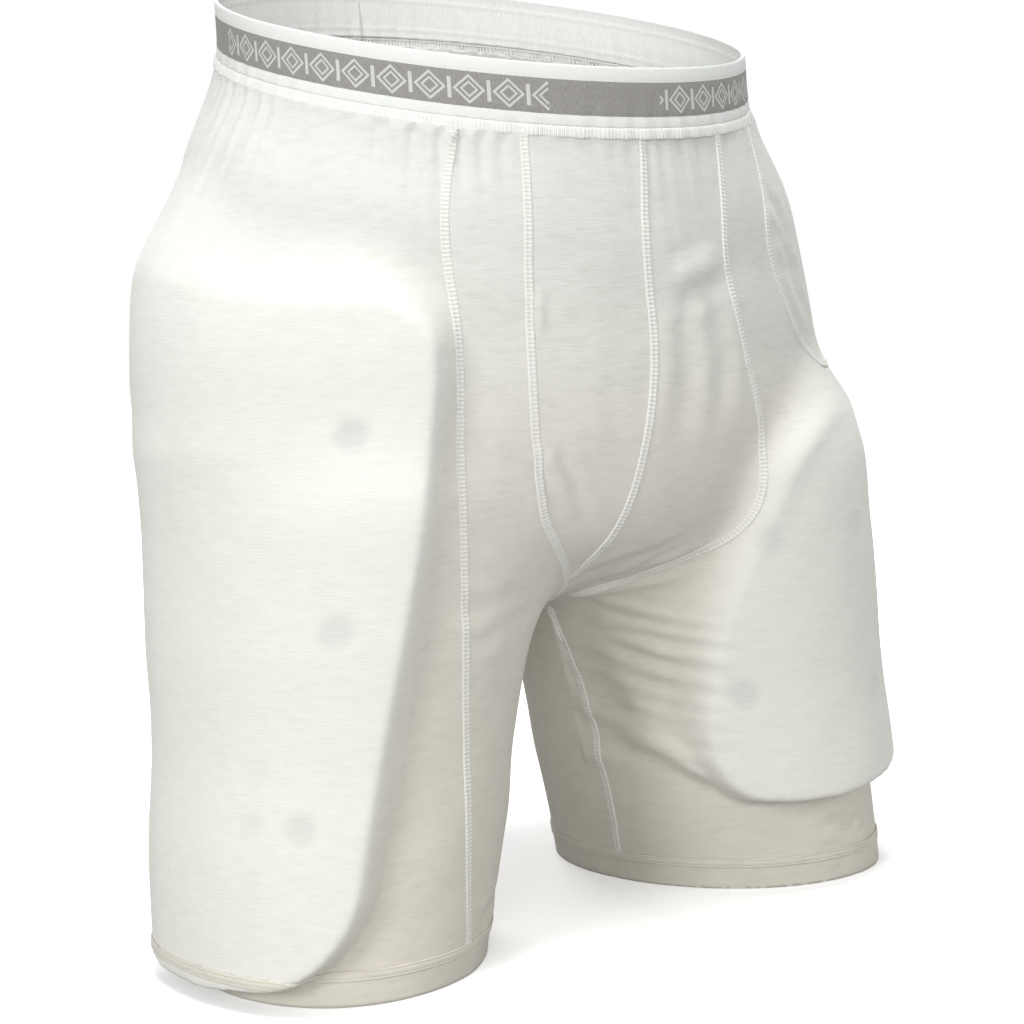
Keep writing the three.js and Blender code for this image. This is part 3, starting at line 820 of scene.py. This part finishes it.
def plainFinish(name, light, dark, scale, roughness, strength, stretch=(1, 1, 1)):
    made = Finish(name, light, roughness)
    grain = made.noise(made.place(stretch), scale, 4.0, 0.6)
    broad = made.noise(made.place(), 22.0, 3.0, 0.5)
    base = made.ramp(grain, [(0.35, dark), (0.62, light)])
    made.colour(made.blend(made.maths("MULTIPLY", broad, 0.3), base, dark))
    made.bump(grain, strength, 0.0005)
    return made.material


def meshFinish():
    knit = Finish("liningMesh", (0.74, 0.75, 0.74), 0.85)
    cells = knit.node("TexVoronoi", Scale=520.0, feature="DISTANCE_TO_EDGE")
    knit.link(knit.place((1, 1, 0.7)), cells.inputs["Vector"])
    colours = [(0.02, (0.78, 0.79, 0.78)), (0.22, (0.52, 0.53, 0.52))]
    knit.colour(knit.ramp(cells.outputs["Distance"], colours))
    knit.bump(cells.outputs["Distance"], 0.5, 0.0006)
    return knit.material


materials = {
    "jersey": jerseyFinish(),
    "thread": threadFinish(),
    "elastic": elasticFinish(),
    "elasticBack": elasticBackFinish(),
    "binding": bindingFinish(),
    "mesh": meshFinish(),
    "foam": plainFinish("closedCellFoam", (0.60, 0.61, 0.60), (0.46, 0.47, 0.46), 950.0, 0.93, 0.5),
    "board": plainFinish("mouldedPadFace", (0.70, 0.71, 0.70), (0.62, 0.63, 0.62), 420.0, 0.5, 0.2),
    "label": plainFinish(
        "wovenLabel", (0.88, 0.88, 0.865), (0.80, 0.80, 0.79), 1400.0, 0.6, 0.35, (1, 1, 0.12)),
}


def finishPiece(piece, finish, slot, *nodes):
    piece.data.materials.clear()
    piece.data.materials.append(materials[finish])
    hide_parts(*nodes)
    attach(piece, rootBody)
    return piece


panelNames = [
    "right_side_panel", "right_front_panel", "right_pouch_panel", "left_pouch_panel", "left_front_panel",
    "left_side_panel", "right_seat_panel", "left_seat_panel", "right_hem_band", "left_hem_band",
]


def takeFaces(chosen):
    part = bm.copy()
    part.faces.ensure_lookup_table()
    bmesh.ops.delete(part, geom=[f for f, keep in zip(part.faces, chosen) if not keep], context="FACES")
    return part


for name in panelNames:
    part = takeFaces(faceRegions == name)
    piece = newPiece(name.replace("_", "-") + "-cloth", part)
    points = readPoints(piece.data)
    height = (points[:, 2].max() - points[:, 2].min()) * mm
    finishPiece(piece, "jersey", "jersey", name)
    hem = name.endswith("hem_band")
    giveThickness(piece, 2.6 if hem else skinSettings["cloth"], -0.75 if hem else -1.0)
print("panels and hem bands made")


def dropFrom(origin, direction):
    hit = tree.ray_cast(Vector(toMetres(np.asarray(origin, float))), Vector(direction))
    return None if hit[0] is None else np.array(hit[0]) / mm - middle


def evenly(line, step, closed=False):
    line = np.array([p for p in line if p is not None])
    for _ in range(3):  # takes the facets of the cloth out of the line
        smoother = (np.roll(line, 1, axis=0) + 2 * line + np.roll(line, -1, axis=0)) / 4
        if closed:
            line = smoother
        else:
            line[1:-1] = smoother[1:-1]
    if closed:
        line = np.concatenate([line, line[:1]])
    run = np.concatenate([[0], np.cumsum(np.linalg.norm(np.diff(line, axis=0), axis=1))])
    count = max(8, int(round(run[-1] / step)))
    at = np.linspace(0, run[-1], count + 1)
    return np.stack([np.interp(at, run, line[:, axis]) for axis in range(3)], axis=1), run[-1]


def flatlockRelief(along, across):  # across from -1 to 1
    edge = 1 - np.clip((np.abs(across) - 0.62) / 0.38, 0, 1) ** 1.5
    rungs = 0.5 + 0.5 * np.cos(along * 2 * math.pi / seam["pitch"])
    rails = np.exp(-(((np.abs(across) - 0.66) / 0.16) ** 2))
    groove = np.exp(-((across / 0.12) ** 2))
    stitches = 0.62 + 0.42 * rungs * (np.abs(across) < 0.7) + 0.34 * rails - 0.12 * groove
    return seam["height"] * edge * stitches - 0.15


def coverRelief(along, across):
    rows = np.exp(-(((np.abs(across) - 0.52) / 0.13) ** 2))
    dashes = 0.75 + 0.25 * np.clip(2 * np.cos(along * 2 * math.pi / coverstitch["pitch"]), -1, 1)
    edge = 1 - np.clip((np.abs(across) - 0.72) / 0.28, 0, 1) ** 2
    return coverstitch["height"] * (1 - 1.1 * rows * dashes) * edge - 0.1


def sewStrip(name, line, settings, relief, lift=0.0, closed=False, wall=1.4):
    path, length = evenly(line, settings["step"], closed)
    count = len(path) - 1

    def place(u, v):
        index = np.clip(np.round(u * count).astype(int), 0, count)
        if closed:
            ahead, back = path[(index + 3) % count], path[(index - 3) % count]
        else:
            ahead, back = path[np.minimum(index + 3, count)], path[np.maximum(index - 3, 0)]
        tangent = ahead - back
        tangent /= np.linalg.norm(tangent, axis=1)[:, None]
        across = 2 * v - 1
        made = np.empty((len(u), 3))
        heights = relief(u * length, across)
        for i in range(len(u)):
            normal = nearestNormal(path[index[i]])
            aside = np.cross(normal, tangent[i])
            guess = path[index[i]] + aside * across[i] * settings["width"] / 2
            spot, face, _, _ = tree.find_nearest(Vector(toMetres(guess)))
            made[i] = np.array(spot) / mm - middle + np.array(face) * (heights[i] + lift)
        return made

    normals = {}

    def nearestNormal(point):
        key = tuple(np.round(point, 3))
        if key not in normals:
            normals[key] = np.array(tree.find_nearest(Vector(toMetres(point)))[1])
        return normals[key]

    size = (length * mm, settings["width"] * mm)
    piece = newPiece(name, mappedGrid(count, settings["columns"], place, size, wrapped=closed))
    probes = zip(readNormals(piece.data)[:40], readPoints(piece.data)[:40])
    if sum(np.dot(normal, nearestNormal(point)) for normal, point in probes) < 0:
        piece.data.flip_normals()
    giveThickness(piece, wall)
    return piece


def frontLine(name, low, high, fromBack=False):
    origin, direction = ((0, 400, 0), (0, -1, 0)) if fromBack else ((0, -400, 0), (0, 1, 0))
    heights = np.arange(high, low, -1.5)
    return [dropFrom((x, origin[1], z), direction) for x, z in zip(seamX(name, heights), heights)]


def waistLimit(x, front):
    y = (-1 if front else 1) * trunk["waist"][1] * math.sqrt(max(0, 1 - (x / 152) ** 2))
    return trunk["bandLevel"] + trunk["tilt"] * y - 0.5


besideLine = []
besideWay = (math.sin(math.radians(besidePad)), -math.cos(math.radians(besidePad)))
for z in np.arange(pocketTop - 2, hemTop, -1.5):
    start = (float(legSpread(np.array(z))) + 300 * besideWay[0], 300 * besideWay[1], z)
    besideLine.append(dropFrom(start, (-besideWay[0], -besideWay[1], 0)))


def innerLine(side):
    line = []
    for z in np.arange(163, hemTop, -1.5):
        line.append(dropFrom((0, float(innerLegY(np.array(z))), z), (side, 0, 0)))
    return line


seamLinesOnCloth = {
    "right_front_seam": frontLine("right_front_seam", hemTop, waistLimit(-90, True)),
    "right_pouch_seam": frontLine("right_pouch_seam", 175, waistLimit(-60, True)),
    "centre_front_seam": frontLine("centre_front_seam", 190, waistLimit(4, True)),
    "left_pouch_seam": frontLine("left_pouch_seam", 174, waistLimit(60, True)),
    "left_front_seam": frontLine("left_front_seam", pocketTop, waistLimit(95, True)) + besideLine,
    "right_back_seam": frontLine("right_back_seam", hemTop, waistLimit(-88, False), True),
    "left_back_seam": frontLine("left_back_seam", hemTop, waistLimit(88, False), True),
    "centre_back_seam": [
        dropFrom((0, 400, z), (0, -1, 0)) for z in np.arange(waistLimit(0, False), 176, -1.5)
    ],
    "right_inner_leg_seam": innerLine(-1),
    "left_inner_leg_seam": innerLine(1),
}
for name, line in seamLinesOnCloth.items():
    piece = sewStrip(name.replace("_", "-") + "-stitching", line, seam, flatlockRelief, wall=2.2)
    finishPiece(piece, "thread", "seam_thread", name)
for side, legName in ((-1, "right"), (1, "left")):
    line = []
    for turn in np.radians(np.arange(0, 360, 0.9)):
        x, y = math.sin(turn), -math.cos(turn)
        start = (side * leg["spread"][0] + 150 * x, 150 * y, hemTop - 1.8)
        line.append(dropFrom(start, (-x, -y, 0)))
    piece = sewStrip(
        legName + "-hem-coverstitch", line, coverstitch, coverRelief, 0.62, closed=True, wall=0.8)
    piece.data.materials.append(materials["jersey"])
    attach(piece, rootBody)
print("seams sewn")


bandRows = {
    "elasticLow": 457.3, "elasticHigh": 487.0, "bindingLow": 451.2, "bindingHigh": 457.6,
    "proud": 0.9, "length": 0.866, "cutLength": 0.80, "teeth": 2.05,
}


def bandWave(turn, level):  # puckers where the band is sewn, and a slow wave all round
    arc = turn * waistRadius
    puckers = 0.35 * np.sin(arc / 1.9 + np.sin(arc / 23)) + 0.2 * np.sin(arc / 3.1)
    return (1 - easeStep(level, 452, 480)) * puckers + 0.5 * np.sin(turn * 3 + 0.6)


def elasticPlace(u, v):
    turn = (u - 0.5) * 2 * math.pi
    level = mix(bandRows["elasticLow"], bandRows["elasticHigh"], v)
    crown = 0.45 * (1 - (2 * v - 1) ** 6)
    edges = -0.35 * (np.exp(-((v - 0.18) / 0.02) ** 2) + np.exp(-((v - 0.75) / 0.02) ** 2))
    return trunkPoint(turn, level, bandRows["proud"] + crown + edges + bandWave(turn, level))


def bindingPlace(u, v):
    turn = (u - 0.5) * 2 * math.pi
    level = mix(bandRows["bindingLow"], bandRows["bindingHigh"], v)
    tooth = 0.5 + 0.5 * np.cos(turn * waistRadius * 2 * math.pi / bandRows["teeth"])
    crown = np.sqrt(np.clip(1 - (2 * v - 1) ** 4, 0, 1))
    return trunkPoint(turn, level, 0.2 + 1.25 * crown + 0.35 * tooth * crown + bandWave(turn, level))


elasticSize = (bandRows["length"], waistband["height"] * mm)
elastic = newPiece("waistband-elastic-woven", mappedGrid(560, 30, elasticPlace, elasticSize, True))
finishPiece(elastic, "elastic", "waist_elastic", "waistband_elastic")
giveThickness(elastic, 1.8)
elastic.data.materials.append(materials["elasticBack"])
elastic.modifiers["cloth"].material_offset = 1  # a plain white inside
elastic.modifiers["cloth"].material_offset_rim = 1
bindingSize = (bandRows["length"], (bandRows["bindingHigh"] - bandRows["bindingLow"]) * mm)
binding = newPiece("waistband-binding-ribbed", mappedGrid(1680, 8, bindingPlace, bindingSize, True))
finishPiece(binding, "binding", "ribbed_binding", "waistband_binding")
giveThickness(binding, 2.0)
print("waistband made")


# A lining follows the cloth, or the bare body where it lies under a pad
def liningFrom(name, node, chosen, depth, bare):
    part = takeFaces(chosen)
    if bare:
        layer = part.verts.layers.float_vector["bare"]
        for vert in part.verts:
            vert.co = vert[layer]
    piece = newPiece(name, part)
    points, normals = readPoints(piece.data), readNormals(piece.data)
    writePoints(piece.data, points - normals * depth)
    finishPiece(piece, "mesh", "mesh_lining", node)
    points = readPoints(piece.data)
    giveThickness(piece, 0.7)


faceBare = np.array([np.mean([v[bareLayer][:] for v in f.verts], axis=0) for f in bm.faces]) / mm - middle
faceX, faceZ = centres[:, 0], centres[:, 2]
cupSpace = (np.abs(faceX + 4) < 50) & (faceZ > 205) & (faceZ < 392) & (centres[:, 1] < -60)
liningFrom("cup-pocket-lining-mesh", "cup_pocket_lining", cupSpace, 2.6, False)
for legName, pad in (("right", rightPad), ("left", leftPad)):
    underPad = (padRise(pad, faceBare)[1] > 0.12) & (faceZ > hemTop)
    liningFrom(legName + "-pocket-lining-mesh", legName + "_pocket_lining", underPad, 1.2, True)


padLayers = {
    "right": {
        "bottom": 24.0, "top": 330.0, "inner": (27, 17), "outer": (96, 104), "foam": 8.6, "board": 3.0,
    },
    "left": {
        "bottom": 58.0, "top": 256.0, "inner": (-33, 2), "outer": (54, 58), "foam": 7.6, "board": 3.0,
    },
}
bare = bm.copy()
for vert in bare.verts:
    vert.co = vert[bare.verts.layers.float_vector["bare"]]
bareTree = BVHTree.FromBMesh(bare)
bare.free()


# Where a line from outside a leg, at a turn and a height, meets the bare body, and the line's way out
def bareSpot(side, turn, height):
    way = np.array([side * math.sin(turn), -math.cos(turn), 0])
    start = np.array([side * float(legSpread(np.array(float(height)))), 0, height]) + way * 330
    return bareTree.ray_cast(Vector(toMetres(start)), Vector(-way))[0], way


def padSlab(name, legName, depth, thickness, grow=0.0):
    pad, size = (rightPad if legName == "right" else leftPad), padLayers[legName]
    side = pad["side"]

    def place(u, v):
        y, x = 2 * v - 1, 2 * u - 1
        roundX, roundY = x * np.sqrt(1 - 0.18 * y * y), y * np.sqrt(1 - 0.18 * x * x)
        tall = (roundY + 1) / 2
        z = mix(size["bottom"] - grow, size["top"] + grow, tall)
        inner, outer = mix(*size["inner"], tall), mix(*size["outer"], tall)
        turn = np.radians(mix(inner, outer, (roundX + 1) / 2))
        made = np.empty((len(u), 3))
        for i in range(len(u)):
            spot, way = bareSpot(side, turn[i], z[i])
            made[i] = np.array(spot) / mm - middle + way * depth
        return made

    slab = mappedGrid(44, 60, place)
    bmesh.ops.recalc_face_normals(slab, faces=slab.faces)
    piece = newPiece(name, slab)
    points, normals = readPoints(piece.data), readNormals(piece.data)
    outward = points - np.stack([side * legSpread(points[:, 2]), 0 * points[:, 2], points[:, 2]], axis=1)
    if (normals * outward).sum() < 0:
        piece.data.flip_normals()
    giveThickness(piece, thickness, 0.0)
    edge = piece.modifiers.new("edge", "BEVEL")
    edge.width, edge.segments, edge.limit_method = min(3.0, thickness * 0.4) * mm, 3, "ANGLE"
    edge.angle_limit = math.radians(50)
    applyModifiers(piece)
    return piece


# Swells the foam a little under its own pressure, as in a tight pocket
def swell(piece, voxel=5.0, cap=1.6):
    fine = piece.modifiers.new("even", "REMESH")
    fine.mode, fine.voxel_size = "VOXEL", voxel * 0.6 * mm
    applyModifiers(piece)
    start = readPoints(piece.data)
    cloth = piece.modifiers.new("swell", "CLOTH")
    cloth.settings.use_pressure, cloth.settings.uniform_pressure_force = True, 4.0
    cloth.settings.effector_weights.gravity = 0
    cloth.settings.quality = 5
    cloth.collision_settings.use_self_collision = False
    cloth.point_cache.frame_start, cloth.point_cache.frame_end = 1, 20
    for at in range(1, 21):
        scene.frame_set(at)
    applyModifiers(piece)
    scene.frame_set(1)
    moved = readPoints(piece.data) - start
    length = np.linalg.norm(moved, axis=1)[:, None]
    writePoints(piece.data, start + moved * np.minimum(1, cap / np.maximum(length, 1e-6)))
    for face in piece.data.polygons:
        face.use_smooth = True


def cutVents(piece, pad):
    tools = bmesh.new()
    for turn, height, _ in pad["vents"]:
        spot, way = bareSpot(pad["side"], math.radians(turn), height)
        if spot is None:
            continue
        turned = Vector(way).to_track_quat("Z", "Y").to_matrix().to_4x4()
        bmesh.ops.create_cone(
            tools, cap_ends=True, segments=24, radius1=0.008, radius2=0.008, depth=0.08,
            matrix=Matrix.Translation(spot) @ turned)
    holes = newPiece("vent-tools", tools)
    cut = piece.modifiers.new("vents", "BOOLEAN")
    cut.operation, cut.object, cut.solver = "DIFFERENCE", holes, "EXACT"
    applyModifiers(piece)
    bpy.data.objects.remove(holes)


for legName, pad in (("right", rightPad), ("left", leftPad)):
    size = padLayers[legName]
    foam = padSlab(legName + "-pad-foam-slab", legName, 0.8 + size["foam"] / 2, size["foam"] - 1.5)
    swell(foam)
    cutVents(foam, pad)
    finishPiece(foam, "foam", "pad_foam", legName + "_pad_foam")
    boardDepth = size["foam"] + 1.4 + size["board"] / 2
    board = padSlab(legName + "-pad-board-shell", legName, boardDepth, size["board"], -6.0)
    cutVents(board, pad)
    for face in board.data.polygons:
        face.use_smooth = True
    finishPiece(board, "board", "pad_board", legName + "_pad_board")
print("linings and pads made")

label = {"from": 25.0, "width": 30.0, "height": 34.0, "depth": 3.0}


def labelPlace(u, v):
    x = label["from"] + u * label["width"]
    level = mix(trunk["bandLevel"] - label["height"], trunk["bandLevel"] - 0.5, v)
    halfWidth, halfDepth = trunkHalf(level)
    curl = 1.2 * (1 - v) ** 2 * (1 + 0.4 * np.sin(u * 5))
    y = (halfDepth - label["depth"] - curl) * np.sqrt(1 - (x / halfWidth) ** 2)
    return np.stack([x, y, level + tiltAt(level) * y], axis=1)


tape = newPiece("care-label-tape", mappedGrid(24, 28, labelPlace, (0.03, 0.034)))
tape.data.flip_normals()
finishPiece(tape, "label", "label_tape", "care_label")
giveThickness(tape, 0.4)
bm.free()
bpy.data.objects.remove(skin)
print("label made")


view = {
    "azimuth": math.radians(34.54), "elevation": math.radians(5.46), "roll": math.radians(-3.49),
    "distance": 1162.92, "target": (0, 0, 220), "lens": 73.32, "shift": (-0.0015, -0.0022),
}


def placeCamera():
    a, e = view["azimuth"], view["elevation"]
    back = Vector((-math.sin(a) * math.cos(e), -math.cos(a) * math.cos(e), math.sin(e)))
    right = Vector((math.cos(a), -math.sin(a), 0))
    up = back.cross(right)
    roll = -view["roll"]
    camX = right * math.cos(roll) - up * math.sin(roll)
    camY = right * math.sin(roll) + up * math.cos(roll)
    data = bpy.data.cameras.new("camera")
    data.lens, data.sensor_width = view["lens"], 36
    data.shift_x, data.shift_y = view["shift"]
    data.clip_start, data.clip_end = 0.05, 50
    camera = bpy.data.objects.new("camera", data)
    scene.collection.objects.link(camera)
    target = Vector(toMetres(np.array(view["target"], float)))
    turned = Matrix((camX, camY, back)).transposed().to_4x4()
    camera.matrix_world = Matrix.Translation(target + back * view["distance"] * mm) @ turned
    scene.camera = camera


def areaLight(name, place, aim, size, power):
    data = bpy.data.lights.new(name, "AREA")
    data.shape, data.size, data.energy = "DISK", size, power
    lamp = bpy.data.objects.new(name, data)
    scene.collection.objects.link(lamp)
    way = Vector(place) - Vector(aim)
    lamp.matrix_world = Matrix.Translation(Vector(place)) @ way.to_track_quat("Z", "Y").to_matrix().to_4x4()


placeCamera()
floorLook = {"radius": 9, "dim": (0.32, 0.32, 0.32), "glowFrom": (0.25, 0.3), "glowTo": (1.1, 1.0)}


# The floor looks pale to the camera but throws little light back up. It glows more further from the middle,
# so that it runs into the white behind it.
def paperFloor():
    paper = Finish("paperFloor", (0.93, 0.93, 0.93), 0.9)
    grain = paper.noise(paper.place(), 60.0, 3.0, 0.5)
    seen = paper.node("LightPath").outputs["Is Camera Ray"]
    pale = paper.ramp(grain, [(0.3, (0.91, 0.91, 0.91)), (0.7, (0.94, 0.94, 0.94))])
    paper.colour(paper.blend(seen, floorLook["dim"], pale))
    split = paper.node("SeparateXYZ")
    paper.link(paper.place((1, 1, 0)), split.inputs[0])
    squares = [paper.maths("MULTIPLY", axis, axis) for axis in (split.outputs[0], split.outputs[1])]
    glow = paper.node("MapRange", interpolation_type="SMOOTHSTEP")
    paper.link(paper.maths("SQRT", paper.maths("ADD", *squares)), glow.inputs["Value"])
    for end, key in (("Min", "glowFrom"), ("Max", "glowTo")):
        glow.inputs["From " + end].default_value, glow.inputs["To " + end].default_value = floorLook[key]
    shown = paper.maths("MULTIPLY", glow.outputs["Result"], seen)
    paper.link(shown, paper.shader.inputs["Emission Strength"])
    paper.shader.inputs["Emission Color"].default_value = (1, 1, 1, 1)
    return paper.material


floorMesh = bmesh.new()
bmesh.ops.create_circle(floorMesh, cap_ends=True, segments=96, radius=floorLook["radius"])
floor = newPiece("floor", floorMesh)
floor.data.materials.append(paperFloor())

garmentMiddle = (0, 0, 0.25)
# place, size and power of each soft light
lights = {
    "leftLight": ((-2.6, -0.9, 1.2), 0.9, 30),
    "frontFill": ((-1.3, -2.0, 0.55), 1.0, 18),
    "rightFill": ((2.2, -2.0, 1.4), 1.2, 14),
    "topLight": ((0, -0.3, 3.0), 1.1, 46),
    "backFill": ((0.9, 2.6, 1.9), 1.4, 34),
}
for name, (place, size, power) in lights.items():
    areaLight(name, place, garmentMiddle, size, power)


def studioWorld():  # soft light all round, in front of a white that only the camera sees
    world = bpy.data.worlds.new("studio")
    world.use_nodes = True
    nodes, links = world.node_tree.nodes, world.node_tree.links
    sky, white = nodes["Background"], nodes.new("ShaderNodeBackground")
    for background, strength in ((sky, 0.44), (white, 1.0)):
        background.inputs["Color"].default_value = (1, 1, 1, 1)
        background.inputs["Strength"].default_value = strength
    choose = nodes.new("ShaderNodeMixShader")
    links.new(nodes.new("ShaderNodeLightPath").outputs["Is Camera Ray"], choose.inputs[0])
    links.new(sky.outputs[0], choose.inputs[1])
    links.new(white.outputs[0], choose.inputs[2])
    links.new(choose.outputs[0], nodes["World Output"].inputs["Surface"])
    return world


scene.world = studioWorld()
scene.view_settings.view_transform = "Standard"
print("camera, floor and lights placed")
